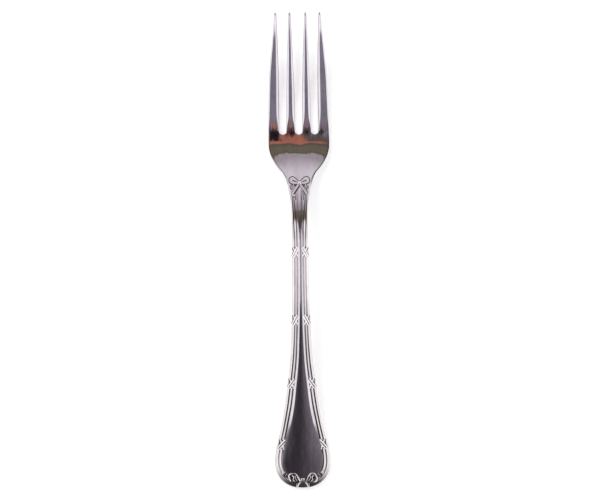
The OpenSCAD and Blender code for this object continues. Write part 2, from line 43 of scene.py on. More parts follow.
# the whole fork, in millimetres, with y counted from the round end of the handle
fork = {
    "handleLength": 124.2,
    "neckLength": 14.8,
    "palmLength": 15.2,
    "tineLength": 50.8,
    "headWidth": 26.2,
    "handleWidth": 24.1,
    "stemWidth": 7.4,
    "stemLength": 18.0,
    "flareLength": 32.0,
    "flareEnd": 0.41,  # share of the palm beyond the flare
    "roundEnd": 11.6,  # from the round end to the widest place
    "squareness": 2.2,  # 2 would be an ellipse
    "crestHeight": 14.4,
    "crestPlace": 106.0,
    "tipHeight": 13.2,
    "neckSlope": 24.0,
    "tipSlope": 23.0,
    "endSlope": 1.2,
    "bowlBack": 4.5,
    "dish": 0.9,
    "restFlat": 0.12,
    "thickness": {
        "end": 2.4, "middle": 2.9, "stem": 3.5, "neck": 3.3, "palm": 2.0, "tine": 1.85, "tip": 1.2,
    },
    "underRise": 0.8,
    "underBevel": 0.4,
}
handleY = fork["handleLength"]
palmY = handleY + fork["neckLength"]
rootY = palmY + fork["palmLength"]
forkLength = rootY + fork["tineLength"]
flareY = rootY - fork["flareEnd"] * fork["palmLength"] - fork["flareLength"]
taperLength = flareY - fork["stemLength"] - fork["roundEnd"]
bowlY = rootY - fork["bowlBack"]
seatLength = 0.73 * fork["neckLength"]
seatEndY = handleY + seatLength
endFlatY = 0.0645 * handleY


def rad(degrees):
    return degrees * math.pi / 180


def blend(a, b, t):
    return a + (b - a) * t


def eased(t):
    t = np.clip(t, 0, 1)
    return t * t * (3 - 2 * t)


# a smooth curve through rows of place, value and, where it matters, slope
def curve(rows, x):
    places = np.array([row[0] for row in rows], float)
    values = np.array([row[1] for row in rows], float)
    slopes = np.zeros(len(rows))
    for i, row in enumerate(rows):
        if len(row) > 2:
            slopes[i] = row[2]
        elif 0 < i < len(rows) - 1:
            slopes[i] = (values[i + 1] - values[i - 1]) / (places[i + 1] - places[i - 1])
    x = np.asarray(x, float)
    k = np.clip(np.searchsorted(places, x, side="right") - 1, 0, len(rows) - 2)
    w = places[k + 1] - places[k]
    t = np.clip((x - places[k]) / w, 0, 1)
    a = (2 * t**3 - 3 * t**2 + 1) * values[k] + (t**3 - 2 * t**2 + t) * slopes[k] * w
    return a + (3 * t**2 - 2 * t**3) * values[k + 1] + (t**3 - t**2) * slopes[k + 1] * w


# side view and plan of the fork
thick = fork["thickness"]
endTop = thick["end"] - fork["restFlat"]
bowlTop = thick["palm"] - fork["restFlat"]
seatMiddle = (fork["crestHeight"] + bowlTop) / 2
neckTan = math.tan(rad(fork["neckSlope"]))
endTan = math.tan(rad(fork["endSlope"]))
seatDrop = neckTan * seatLength / 2
sideView = [
    [0, endTop, endTan],
    [endFlatY, endTop + endFlatY * endTan, endTan],
    [0.236 * fork["crestPlace"], 0.27 * fork["crestHeight"]],
    [0.566 * fork["crestPlace"], 0.71 * fork["crestHeight"]],
    [fork["crestPlace"], fork["crestHeight"], 0],
    [handleY, seatMiddle + seatDrop, -neckTan],
    [seatEndY, seatMiddle - seatDrop, -neckTan],
    [bowlY, bowlTop, 0],
    [forkLength, fork["tipHeight"], math.tan(rad(fork["tipSlope"]))],
]
thicknessView = [
    [0, thick["end"]],
    [endFlatY, thick["end"]],
    [0.566 * fork["crestPlace"], thick["middle"]],
    [fork["crestPlace"], thick["stem"]],
    [handleY, thick["neck"]],
    [bowlY, thick["palm"]],
    [(rootY + forkLength) / 2, thick["tine"]],
    [forkLength, thick["tip"]],
]
taperShares = [[0, 1], [0.09, 0.85], [0.18, 0.635], [0.274, 0.455], [0.364, 0.335],
               [0.486, 0.18], [0.608, 0.096], [0.79, 0.024], [1, 0]]
flareShares = [[0, 0], [0.16, 0.02], [0.27, 0.045], [0.43, 0.13], [0.55, 0.235], [0.63, 0.37],
               [0.69, 0.54], [0.75, 0.7], [0.81, 0.82], [0.875, 0.92], [0.95, 0.985], [1, 1]]


def halfWidth(y):
    y = np.asarray(y, float)
    t = np.clip((y - fork["roundEnd"]) / taperLength, 0, 1)
    u = np.clip((y - flareY) / fork["flareLength"], 0, 1)
    handle = blend(fork["stemWidth"], fork["handleWidth"], curve(taperShares, t)) / 2
    head = blend(fork["stemWidth"], fork["headWidth"], curve(flareShares, u)) / 2
    return np.where(y < fork["roundEnd"] + taperLength, handle, head)


def topZ(x, y):
    dish = fork["dish"] * eased((y - seatEndY) / (bowlY - seatEndY))
    return curve(sideView, y) + dish * (2 * x / fork["headWidth"]) ** 2


def underZ(x, y, rise):
    return np.maximum(0, topZ(x, y) - curve(thicknessView, y) + rise)


# how the edges of the metal are rounded and ground, in millimetres
edgeForm = {
    "topRound": 0.3,  # upper rim of the plain handle
    "underRound": 0.45,
    "softDrop": 0.35,
    "softWidth": 0.7,
    "bevelSlope": 0.42,
    "bevelCurl": 0.1,  # steeper by this towards the rim
    "bevelRound": 0.1,
    "creaseAngle": 38,  # degrees; sharper edges stay crisp
}


# a rounded edge: how far it falls at a distance from its rim
def roundOff(distance, radius):
    t = np.clip(distance / radius, 0, 1)
    return radius * (1 - np.sqrt(np.maximum(0, 1 - (1 - t) ** 2)))


# a ground bevel with a crisp crease
def bevelDrop(distance, width):
    u = np.clip(1 - distance / width, 0, 1)
    slope = edgeForm["bevelSlope"] * u + edgeForm["bevelCurl"] * u**2
    return width * slope + roundOff(distance, edgeForm["bevelRound"])


# the plain upper edge of the handle beside the neck
def plainEdge(distance):
    soft = edgeForm["softDrop"] * (1 - np.clip(distance / edgeForm["softWidth"], 0, 1)) ** 2
    return soft + roundOff(distance, edgeForm["topRound"])


def addThing(name, data):
    thing = bpy.data.objects.new(name, data)
    bpy.context.collection.objects.link(thing)
    return thing


def makePiece(name, points, faces, node, finish, paintedShade, mirrored):
    if mirrored:
        points[:, 0] = -points[:, 0]
    points[:, 1] -= forkLength / 2
    mesh = bpy.data.meshes.new(name)
    mesh.from_pydata((points * mm).tolist(), [], faces)
    # the painted shade of every point, kept as a mesh attribute
    layer = mesh.attributes.new("paintedShade", "FLOAT", "POINT")
    layer.data.foreach_set("value", np.asarray(paintedShade, np.float32))
    work = bmesh.new()
    work.from_mesh(mesh)
    bmesh.ops.remove_doubles(work, verts=work.verts, dist=1e-8)
    bmesh.ops.recalc_face_normals(work, faces=work.faces)
    work.to_mesh(mesh)
    work.free()
    mesh.shade_smooth()
    mesh.set_sharp_from_angle(angle=rad(edgeForm["creaseAngle"]))
    mesh.materials.append(finish)
    piece = addThing(name, mesh)
    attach(piece, "root")
    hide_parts(node)


# pieces on the left are mirrored
sides = (("left", True), ("right", False))


# faces between rows of points
def gridFaces(rows, count, first=0, closed=True):
    faces = []
    for j in range(rows - 1):
        a = first + j * count
        for i in range(count if closed else count - 1):
            k = (i + 1) % count
            faces.append((a + i, a + k, a + count + k, a + count + i))
    return faces


# rings of points in order, joined along their length and capped at both ends
def ringFaces(rows, count, first, strips):
    faces = gridFaces(rows, count, first)
    last = first + (rows - 1) * count
    if strips:
        for i in range(count // 2 - 1):
            k = count - 1 - i
            faces.append((first + i, first + i + 1, first + k - 1, first + k))
            faces.append((last + k, last + k - 1, last + i + 1, last + i))
    else:
        faces.append(tuple(range(first, first + count)))
        faces.append(tuple(range(last + count - 1, last - 1, -1)))
    return faces


# several ring solids in one piece; each solid is its rings and their painted shade
def ringPiece(name, solids, node, finish, mirrored=False, strips=False):
    points = []
    faces = []
    paintedShade = []
    first = 0
    for rings, paintedShadeMask in solids:
        rows, count = rings.shape[:2]
        points.append(rings.reshape(-1, 3))
        paintedShade.append(np.broadcast_to(paintedShadeMask, (rows, count)).reshape(-1))
        faces += ringFaces(rows, count, first, strips)
        first += rows * count
    makePiece(name, np.concatenate(points), faces, node, finish, np.concatenate(paintedShade), mirrored)


# an upper and a lower grid of points make one solid; only the upper one carries painted shade
def closeRings(top, under, paintedShadeMask=0.0):
    rows, count = top.shape[:2]
    clean = np.zeros((rows, under.shape[1]))
    paintedShadeMask = np.broadcast_to(paintedShadeMask, (rows, count))
    return np.concatenate([top, under[:, ::-1]], axis=1), np.concatenate([paintedShadeMask, clean], axis=1)


def grid(x, y, z):
    return np.stack(np.broadcast_arrays(x, y, z), axis=2)


def plate(x, y, top, under, paintedShadeMask=0.0):
    return closeRings(grid(x, y, top), grid(x, y, under), paintedShadeMask)


# columns from the right edge to the middle, and on to the left edge
def bothSides(right, left):
    return np.concatenate([right, left[:, -2::-1]], axis=1)


finishes = {
    "brightSteel": {
        "slot": "polished_steel", "colour": (0.79, 0.745, 0.80), "rough": 0.04,
        "scratch": 0.4, "waves": 1.8, "mottle": 0.25,
    },
    "flatSteel": {
        "slot": "panel_steel", "colour": (0.76, 0.72, 0.77), "rough": 0.08,
        "scratch": 0.8, "waves": 4.5, "mottle": 0.5,
    },
    # the struck ornament is the same steel painted brighter: a painted highlight
    "struckSteel": {
        "slot": "struck_ornament", "colour": (0.94, 0.89, 0.905), "rough": 0.07,
        "scratch": 0.3, "waves": 0.4, "mottle": 0.15,
    },
}
# noise stretched along the fork: stretch, turn, detail and the range that shows
grain = {
    "polish": ((1500, 50, 500), (0, 0, 0), 3, 0.35, 0.7),
    "hairs": ((5200, 110, 1500), (0, 0, 0.5), 2, 0.66, 0.8),
    "cross": ((4700, 140, 1500), (0, 0, -0.8), 2, 0.67, 0.8),
    "smudge": ((300, 60, 150), (0.2, 0.1, 0.1), 3, 0.35, 0.75),
    "waves": ((420, 110, 300), (0, 0, 0.1), 1, 0.3, 0.7),
    "mottle": ((1900, 420, 900), (0, 0, 0.2), 4, 0.4, 0.72),
}
# wear that all three finishes share, and the colour and roughness of the painted shade
wearAndShade = {
    "paintedShadeColour": (0.06, 0.038, 0.043),
    "paintedShadeRough": 0.2,
    "polishRough": 0.02,
    "polishBase": 0.015,  # taken off the roughness, as the polish adds to it
    "scratchRough": 0.12,
    "smudgeRough": 0.015,
    "smudgeTint": 0.84,
    "stainTint": 0.62,
    "polishRelief": 0.4,
    "bump": 0.1,
    "bumpHeight": 0.02,
}


def newNodes(kind, name):
    made = kind.new(name)
    made.use_nodes = True
    return made, made.node_tree.nodes, made.node_tree.links


def makeFinish(name):
    look = finishes[name]
    material, nodes, links = newNodes(bpy.data.materials, name)
    shader = nodes["Principled BSDF"]
    shader.inputs["Metallic"].default_value = 1.0

    def add(kind, **values):
        node = nodes.new(kind)
        for key, value in values.items():
            if key in node.inputs.keys():
                node.inputs[key].default_value = value
            else:
                setattr(node, key, value)
        return node

    place = add("ShaderNodeTexCoord")

    def lines(stretch, turn, detail, low, high):
        mapping = add("ShaderNodeMapping", Scale=stretch, Rotation=turn)
        noise = add("ShaderNodeTexNoise", Scale=1.0, Detail=detail, Roughness=0.6)
        ramp = add("ShaderNodeMapRange")
        ramp.inputs["From Min"].default_value = low
        ramp.inputs["From Max"].default_value = high
        links.new(place.outputs["Object"], mapping.inputs["Vector"])
        links.new(mapping.outputs["Vector"], noise.inputs["Vector"])
        links.new(noise.outputs["Fac"], ramp.inputs["Value"])
        return ramp.outputs["Result"]

    # a value times a factor, on top of a number or of another value
    def scaled(value, factor, base=0.0):
        node = add("ShaderNodeMath", operation="MULTIPLY_ADD")
        links.new(value, node.inputs[0])
        node.inputs[1].default_value = factor
        if isinstance(base, float):
            node.inputs[2].default_value = base
        else:
            links.new(base, node.inputs[2])
        return node.outputs[0]

    # a darker colour laid over another by a factor
    def over(under, colour, factor):
        layer = add("ShaderNodeMix", data_type="RGBA")
        if under is None:
            layer.inputs["A"].default_value = (*look["colour"], 1)
        else:
            links.new(under, layer.inputs["A"])
        layer.inputs["B"].default_value = (*colour, 1)
        links.new(factor, layer.inputs["Factor"])
        return layer.outputs["Result"]

    marks = {key: lines(*row) for key, row in grain.items()}
    scratches = scaled(marks["hairs"], 1.0, marks["cross"])
    paintedShadeAmount = add("ShaderNodeAttribute", attribute_name="paintedShade").outputs["Fac"]

    rough = scaled(marks["polish"], wearAndShade["polishRough"], look["rough"] - wearAndShade["polishBase"])
    rough = scaled(scratches, wearAndShade["scratchRough"] * look["scratch"], rough)
    rough = scaled(marks["smudge"], wearAndShade["smudgeRough"], rough)
    rough = scaled(paintedShadeAmount, wearAndShade["paintedShadeRough"], rough)
    links.new(rough, shader.inputs["Roughness"])

    colour = over(None, [c * wearAndShade["smudgeTint"] for c in look["colour"]], marks["smudge"])
    stain = scaled(marks["mottle"], look["mottle"])
    colour = over(colour, [c * wearAndShade["stainTint"] for c in look["colour"]], stain)
    # painted shade: a dark colour laid on where the mesh attribute says
    colour = over(colour, wearAndShade["paintedShadeColour"], paintedShadeAmount)
    links.new(colour, shader.inputs["Base Color"])

    height = scaled(marks["polish"], wearAndShade["polishRelief"])
    height = scaled(scratches, -look["scratch"], height)
    height = scaled(marks["waves"], look["waves"], height)
    bump = add("ShaderNodeBump", Strength=wearAndShade["bump"], Distance=wearAndShade["bumpHeight"] * mm)
    links.new(height, bump.inputs["Height"])
    links.new(bump.outputs["Normal"], shader.inputs["Normal"])
    return material


steel = makeFinish("brightSteel")
panelSteel = makeFinish("flatSteel")
ornament = makeFinish("struckSteel")
print("stage: finishes")

# border of the handle, followed by stations from the neck to the round end
border = {
    "endWidth": 4.3,
    "stemWidth": 3.5,
    "startWidth": 2.3,
    "widening": 0.75,  # share of the taper over which it widens
    "startLength": 16.0,
    "groove": 0.5,  # depth of the grooves
    "grooveHalf": 0.2,
    "shoulder": 0.34,  # where the reeds rise out of the grooves
    "outerDrop": 0.1,
    "outerCrown": 1.5,  # powers: a higher one makes a rounder reed
    "innerCrown": 1.35,
    "filletCurve": 1.3,
    "fadeStart": 6.0,  # plain metal between the neck and the reeds
    "fadeLength": 12.0,
    "ties": (0.82, 0.585, 0.366, 0.155),
    "tieLength": 4.6,
    "tieSeat": (0.85, 1.5, 0.7),  # how flat the reeds are under a tie, its half length and its ends
    "rimRadius": 0.45,
    "innerTurn": 38,  # degrees round the end where the inner reed stops
    "outerTurn": 76,
    "innerSink": 22,  # rows over which a reed sinks into the round end
    "outerSink": 70,
    "sunkDepth": 0.2,
    # painted shade where the reeds sink into the round end
    "sunkShade": 0.75,
    "arcShade": 0.9,  # painted shade: the reeds darken round the end
    "arcPlace": 11.0,
    "longStep": 0.4,  # rows along the side
    "shortStep": 0.12,  # rows near a tie
    "turnRows": (60, 66),
    # distance of both grooves from the rim, by the place along the handle
    "outerGroove": [
        [0, 1.6], [11.6, 1.6], [20, 1.38], [29, 1.27], [38, 1.3], [55, 1.42], [64, 1.45], [81, 1.28],
        [110, 1.2], [124.2, 0.9],
    ],
    "innerGroove": [
        [0, 3.1], [11.6, 3.1], [20, 2.78], [29, 2.62], [38, 2.75], [55, 2.7], [64, 2.6], [81, 2.46],
        [110, 2.36], [124.2, 1.65],
    ],
    "fillet": [[0, 0.03], [24, 0.05], [30, 0.14], [37, 0.28], [45, 0.34], [124.2, 0.34]],
    # painted shade in the grooves on the right and on the left, and on the panel beside them
    "rightShade": [
        [0, 0.55], [12, 0.8], [30, 1], [55, 0.9], [66, 0.5], [76, 0.3], [106, 0.3], [111, 0.95],
        [124.2, 0.9],
    ],
    "leftShade": [
        [0, 0.3], [12, 0.4], [22, 0.7], [32, 1], [55, 0.85], [66, 0.45], [76, 0.3], [106, 0.3],
        [111, 0.95], [124.2, 0.9],
    ],
    "shade": [[0, 0.5], [24, 0.45], [32, 0.2], [38, 0], [124.2, 0]],
    "lineStrength": 1.5,
    "lineWidth": 0.27,
    "shadeWidth": 1.1,
}
tieMiddles = [share * handleY for share in border["ties"]]


def borderWidth(y):
    w = blend(border["stemWidth"], border["endWidth"],
              eased(1 - (y - fork["roundEnd"]) / (taperLength * border["widening"])))
    start = (border["stemWidth"] - border["startWidth"]) * eased(1 - (handleY - y) / border["startLength"])
    return w - start


def fade(y):
    return eased((handleY - border["fadeStart"] - y) / border["fadeLength"])


def makeStations(rim, inward):
    y = rim[:, 1:]
    outer = curve(border["outerGroove"], y)
    inner = curve(border["innerGroove"], y)
    reach = rim[:, :1] + inward[:, :1] * inner + inner
    return {
        "rim": rim, "inward": inward, "y": y, "w": borderWidth(y), "outer": outer, "inner": inner,
        "reach": reach,
    }


def sideStations(y):
    step = 0.01
    lean = (halfWidth(y + step) - halfWidth(y - step)) / (2 * step) * fade(y)
    size = np.sqrt(1 + lean**2)
    return makeStations(np.stack([halfWidth(y), y], 1), np.stack([-1 / size, lean / size], 1))


def turnStations(degrees):
    a = rad(np.asarray(degrees, float))
    n = fork["squareness"]
    u = np.abs(np.cos(a)) ** (2 / n)
    v = np.abs(np.sin(a)) ** (2 / n)
    gx = 2 * u ** (n - 1) / fork["handleWidth"]
    gy = v ** (n - 1) / fork["roundEnd"]
    size = np.hypot(gx, gy)
    rim = np.stack([u * fork["handleWidth"] / 2, fork["roundEnd"] * (1 - v)], 1)
    return makeStations(rim, np.stack([-gx / size, gy / size], 1))


def joinStations(a, b):
    return {key: np.concatenate([a[key], b[key]]) for key in a}


# rows along the side: close together at the ties and where the reeds rise
def sideRows():
    rows = [handleY]
    while rows[-1] > fork["roundEnd"]:
        y = rows[-1]
        near = min(abs(y - middle) for middle in tieMiddles)
        isNear = near < border["tieLength"] * 0.6
        rows.append(y - border["shortStep" if isNear else "longStep"])
    rows[-1] = fork["roundEnd"]
    return np.array(rows)


side = sideStations(sideRows())
innerArc = turnStations(np.linspace(0, border["innerTurn"], border["turnRows"][0])[1:])
outerArc = turnStations(np.linspace(border["innerTurn"], border["outerTurn"], border["turnRows"][1])[1:])
innerStations = joinStations(side, innerArc)
outerStations = joinStations(innerStations, outerArc)


# the struck profile: a round outer reed, a sharper inner one, two grooves and the fillet
def relief(d, stations):
    outer = stations["outer"]
    inner = stations["inner"]
    w = stations["w"]
    deep = border["groove"]
    shoulder = border["shoulder"]
    half = border["grooveHalf"]
    u = np.clip(np.abs(d - outer / 2) / (outer / 2 - half * 0.6), 0, 1)
    first = blend(border["outerDrop"], shoulder, u ** border["outerCrown"])
    v = np.clip(np.abs(d - (outer + inner) / 2) / ((inner - outer) / 2 - half), 0, 1)
    second = blend(0, shoulder, v ** border["innerCrown"])
    low = curve(border["fillet"], stations["y"])
    t = np.clip((d - inner - half) / (w - inner - half), 0, 1)
    third = low * (1 - t) ** border["filletCurve"]
    reeds = np.where(d < outer, first, np.where(d < inner, second, third))
    edge = np.where(d < inner, shoulder, low)
    for groove in (outer, inner):
        near = np.abs(d - groove) / half
        reeds = np.where(near < 1, blend(deep, edge, np.clip(near, 0, 1)), reeds)
    return reeds


# painted shade: how dark the grooves are, and the shade beside the panel near the round end
def paintedBorderShade(d, stations, table):
    y = stations["y"]
    inner = stations["inner"]
    near = np.minimum(np.abs(d - stations["outer"]), np.abs(d - inner))
    line = np.clip(border["lineStrength"] - near / border["lineWidth"], 0, 1) * curve(table, y)
    shade = np.clip(1 - (d - inner) / border["shadeWidth"], 0, 1) * (d > inner - 0.01)
    return np.maximum(line, shade * curve(border["shade"], y))


# how flat the reeds are under the ties
def tieSeat(y):
    flat, half, soft = border["tieSeat"]
    near = np.min([np.abs(y - middle) for middle in tieMiddles], axis=0)
    return flat - flat * eased((near - half) / soft)


# places at distances from the rim
def insetPlaces(stations, d):
    return stations["rim"][:, None, :] + stations["inward"][:, None, :] * d[..., None]


def lifted(places, z):
    return np.concatenate([places, z[..., None]], axis=2)


def borderTop(stations, d, sink):
    p = insetPlaces(stations, d)
    y = stations["y"]
    onReeds = d < stations["inner"] + 0.01
    struck = blend(relief(d, stations), border["groove"], tieSeat(y) * onReeds)
    struck = blend(struck, border["sunkDepth"], sink)
    drop = blend(plainEdge(d), struck + roundOff(d, border["rimRadius"]), fade(y))
    return lifted(p, topZ(p[..., 0], p[..., 1]) - drop)


def borderUnder(stations, d):
    p = insetPlaces(stations, d)
    q = 1 - d / stations["reach"]
    rise = fork["underRise"] * q**3 + roundOff(d, edgeForm["underRound"])
    return lifted(p, underZ(p[..., 0], p[..., 1], rise))


# the outer reed starts at the rim, the inner one at the outer groove
def makeReed(kind, sideName, stations, start, mirrored):
    b = stations[kind]
    a = stations[start] if start else np.zeros_like(b)
    d = blend(a, b, np.array(reedCuts[kind + "Top"])[None, :])
    table = border[sideName + "Shade"]
    under = borderUnder(stations, blend(a, b, np.array(reedCuts[kind + "Under"])[None, :]))
    sink = eased(1 - np.arange(len(d))[::-1] / border[kind + "Sink"])[:, None]
    arc = border["arcShade"] * eased(1 - stations["y"] / border["arcPlace"])
    # painted shade in the grooves, where the reeds sink and round the end
    paintedShadeMask = np.maximum(paintedBorderShade(d, stations, table), np.maximum(border["sunkShade"] * sink, arc))
    node = "reed_" + kind + "_" + sideName
    solid = closeRings(borderTop(stations, d, sink), under, paintedShadeMask)
    ringPiece(node + "_bead", [solid], node, ornament, mirrored)


# cuts across a reed, as shares of its width
reedCuts = {
    "outerTop": np.concatenate([[0, 0.01, 0.03, 0.06, 0.1, 0.14], np.linspace(0.18, 0.8, 15),
                                [0.83, 0.858, 0.9, 0.94, 0.97, 1]]),
    "innerTop": np.concatenate([[0, 0.04, 0.08, 0.12, 0.17], np.linspace(0.21, 0.79, 15),
                                [0.83, 0.88, 0.92, 0.96, 1]]),
    "outerUnder": [0, 0.02, 0.06, 0.13, 0.22, 0.34, 0.55, 0.78, 1],
    "innerUnder": [0, 0.25, 0.5, 0.75, 1],
}
for sideName, mirrored in sides:
    makeReed("outer", sideName, outerStations, None, mirrored)
    makeReed("inner", sideName, innerStations, "outer", mirrored)
print("stage: reeds")

panel = {
    "crown": 0.15,
    "filletShares": (0, 0.03, 0.07, 0.11, 0.15, 0.2, 0.26, 0.33, 0.41, 0.5, 0.6, 0.7, 0.8, 0.9, 1.0),
    "columns": 14,  # from the fillet to the middle
    "underColumns": 25,
    "streakEnds": 4.0,
    # dark lines painted into the colour, the wide one over the middle being painted shade: place across,
    # from, to, strength and half width
    "streaks": [(0.85, 108, 130, 0.85, 0.32), (-0.9, 112, 130, 0.6, 0.32), (0.1, 109, 120, 0.9, 1.0),
                (0.3, 64, 116, 0.7, 0.34)],
}


def panelSolid():
    stations = innerStations
    inner = stations["inner"]
    wall = stations["rim"] + stations["inward"] * inner
    away = np.array(panel["filletShares"])[None, :] * (stations["w"] - inner)
    x = wall[:, :1] - away
    flat = x[:, -1:] * np.linspace(1, 0, panel["columns"] + 1)[None, 1:]
    half = np.concatenate([x, flat], axis=1)
    middle = np.repeat(stations["w"], panel["columns"], axis=1)
    d = np.concatenate([inner + away, middle], axis=1)
    full = bothSides(half, -half)
    y = wall[:, 1:]
    fadeY = fade(stations["y"])
    swell = panel["crown"] * eased((y - endFlatY) / fork["roundEnd"]) * fadeY
    swell = swell * (1 - (full / wall[:, :1]) ** 2)
    drop = blend(plainEdge(d), relief(d + 1e-6, stations), fadeY)
    drop = bothSides(drop, drop)
    top = topZ(full, y) - drop + swell
    right = paintedBorderShade(d, stations, border["rightShade"])
    left = paintedBorderShade(d, stations, border["leftShade"])
    paintedShadeMask = bothSides(right, left)
    for place, start, stop, strength, wide in panel["streaks"]:
        along = eased((y - start) / panel["streakEnds"]) * eased((stop - y) / panel["streakEnds"])
        paintedShadeMask = np.maximum(paintedShadeMask, np.exp(-(((full - place) / wide) ** 2)) * strength * along)
    underX = wall[:, :1] * np.linspace(1, -1, panel["underColumns"])[None, :]
    q = 1 - inner / stations["reach"]
    rise = fork["underRise"] * (q * np.abs(underX) / wall[:, :1]) ** 3
    return closeRings(grid(full, y, top), grid(underX, y, underZ(underX, y, rise)), paintedShadeMask)


ringPiece("handle_centre_panel", [panelSolid()], "handle_panel", panelSteel)
print("stage: panel")

# the round end between the reeds
endPiece = {
    "lip": 0.45,  # width of the groove beside the reeds
    "round": 0.4,
    "reach": 8.0,  # how far in the underside rises
    "lastTurn": 89.7,  # degrees round the end
    "columns": 41,
    "rows": (12, 14, 16),  # across the inner reed, across the outer one and on to the tip
}


def rimDistance(x, y):
    n = fork["squareness"]
    a = fork["handleWidth"] / 2
    b = fork["roundEnd"]
    u = np.abs(x) / a
    v = np.abs(b - y) / b
    value = u**n + v**n
    gradient = np.hypot(n * u ** (n - 1) / a, n * v ** (n - 1) / b)
    return np.maximum(0, (1 - value) / np.maximum(gradient, 1e-6))


def handleEndSolid():
    def inset(stations, k, d):
        return (stations["rim"][k] + stations["inward"][k] * d)[None, :]

    start = {key: innerStations[key][-1:] for key in innerStations}
    walls = joinStations(start, outerArc)
    first = inset(start, 0, start["inner"][0])
    innerRows, outerRows, tipRows = endPiece["rows"]
    steps = np.linspace(start["inner"][0], start["outer"][0], innerRows)[1:-1]
    between = [inset(start, 0, d) for d in steps]
    wall = walls["rim"] + walls["inward"] * walls["outer"]
    down = [inset(outerStations, -1, d) for d in np.linspace(outerStations["outer"][-1], 0, outerRows)[1:]]
    tip = turnStations(np.linspace(border["outerTurn"], endPiece["lastTurn"], tipRows)[1:])["rim"]
    edge = np.concatenate([first, *between, wall, *down, tip])
    walled = len(edge) - len(tip)
    hx = edge[:, :1]
    y = edge[:, 1:]
    u = np.sin(np.linspace(-math.pi / 2, math.pi / 2, endPiece["columns"]))[None, :]
    x = hx * u
    lip = (hx - np.abs(x)) / endPiece["lip"]
    isWall = (np.arange(len(edge)) < walled)[:, None]
    groove = border["groove"] * (1 - eased(lip)) * isWall
    near = rimDistance(x, y)
    z = topZ(x, y) - np.maximum(groove, roundOff(near, endPiece["round"]))
    q = np.clip(2 * np.abs(x) / fork["handleWidth"], 0, 1)
    reach = 1 - np.clip(near / endPiece["reach"], 0, 1)
    rise = fork["underRise"] * np.maximum(q, reach) ** 3 + roundOff(near, edgeForm["underRound"])
    under = underZ(x, y, rise)
    # painted shade in the groove beside the reeds, by its depth
    paintedShadeMask = np.clip(groove / border["groove"] - 0.3, 0, 1)
    return plate(x, y, z, under, paintedShadeMask)


ringPiece("handle_round_end", [handleEndSolid()], "handle_end", panelSteel)
print("stage: round end")

head = {
    "slotPitch": 6.85,
    "slotWidth": 3.0,
    "tipWidth": 1.2,
    "innerTip": 3.4,
    "outerTip": 9.5,
    "palmBevel": 0.15,
    "tipRound": 0.97,  # share of the tine where the round tip starts
    "tipSwell": 0.04,  # share of its size left at the very tip
    "mostBevel": 0.4,  # share of the width of a tine
    # widths of the ground bevels along the tines
    "innerBevel": [
        [0, 0.15], [0.03, 0.27], [0.06, 0.48], [0.11, 0.85], [0.18, 1.0], [0.28, 1.04], [0.42, 0.9],
        [0.59, 0.79], [0.76, 0.6], [0.93, 0.42], [1, 0.36],
    ],
    "insideBevel": [
        [0, 0.15], [0.03, 0.27], [0.06, 0.46], [0.11, 0.82], [0.18, 0.97], [0.28, 0.98], [0.42, 0.93],
        [0.59, 0.84], [0.76, 0.7], [0.93, 0.48], [1, 0.36],
    ],
    "outsideBevel": [
        [0, 0.15], [0.05, 0.3], [0.12, 0.46], [0.42, 0.56], [0.59, 0.6], [0.76, 0.55], [0.93, 0.4],
        [1, 0.33],
    ],
    "rimShade": {"left": 0.6, "right": 1.0},
    "rimStrength": 1.9,
    "rimWidth": 0.4,
    "nearRim": (0, 0.012, 0.04, 0.075, 0.11, 0.14, 0.165),  # columns beside the rim of the palm
    "tineRows": (120, 12),
    "palmRows": 46,
    "palmFlat": 9,  # columns across the root of a tine
    "slotColumns": 37,
}
# shares of the narrowing of the tines along their length
innerNarrow = [[0, 1], [0.1, 0.925], [0.3, 0.887], [0.47, 0.68], [0.62, 0.49],
               [0.73, 0.34], [0.82, 0.21], [0.88, 0.11], [0.94, 0.04], [0.97, 0]]
outerInside = [[0, 0], [0.47, 0], [0.62, 0.2], [0.73, 0.4], [0.82, 0.65], [0.88, 0.8], [0.97, 1]]
outerOutside = [[0, 0], [0.1, 0.02], [0.3, 0.117], [0.47, 0.217], [0.62, 0.417], [0.73, 0.6],
                [0.82, 0.767], [0.88, 0.867], [0.94, 0.95], [0.97, 1]]

neck = {
    "rows": 60,
    "columns": 26,  # from the edge to the middle
    "nearRim": (0, 0.01, 0.03, 0.065, 0.1, 0.14, 0.165, 0.22, 0.3, 0.4, 0.5, 0.6, 0.7),
    "underPower": (3, 8),  # how late the underside rises, at the handle and at the palm
    "rimStart": (0.3, 0.4),  # shares of the neck where the dark rim starts and grows
    # dark lines: place across and strength
    "streakWidth": 0.33,
    "streakLength": 6.5,
    "streaks": [(-2.9, 0.9), (-1.75, 0.85), (-0.9, 0.6), (0.8, 1.0), (1.75, 0.85), (2.75, 0.9)],
}


# the thin dark line of painted shade along the sheared rim of the head, stronger on the right
def rimLine(d, x):
    strength = np.where(x > 0, head["rimShade"]["right"], head["rimShade"]["left"])
    return np.clip(head["rimStrength"] - d / head["rimWidth"], 0, 1) * strength


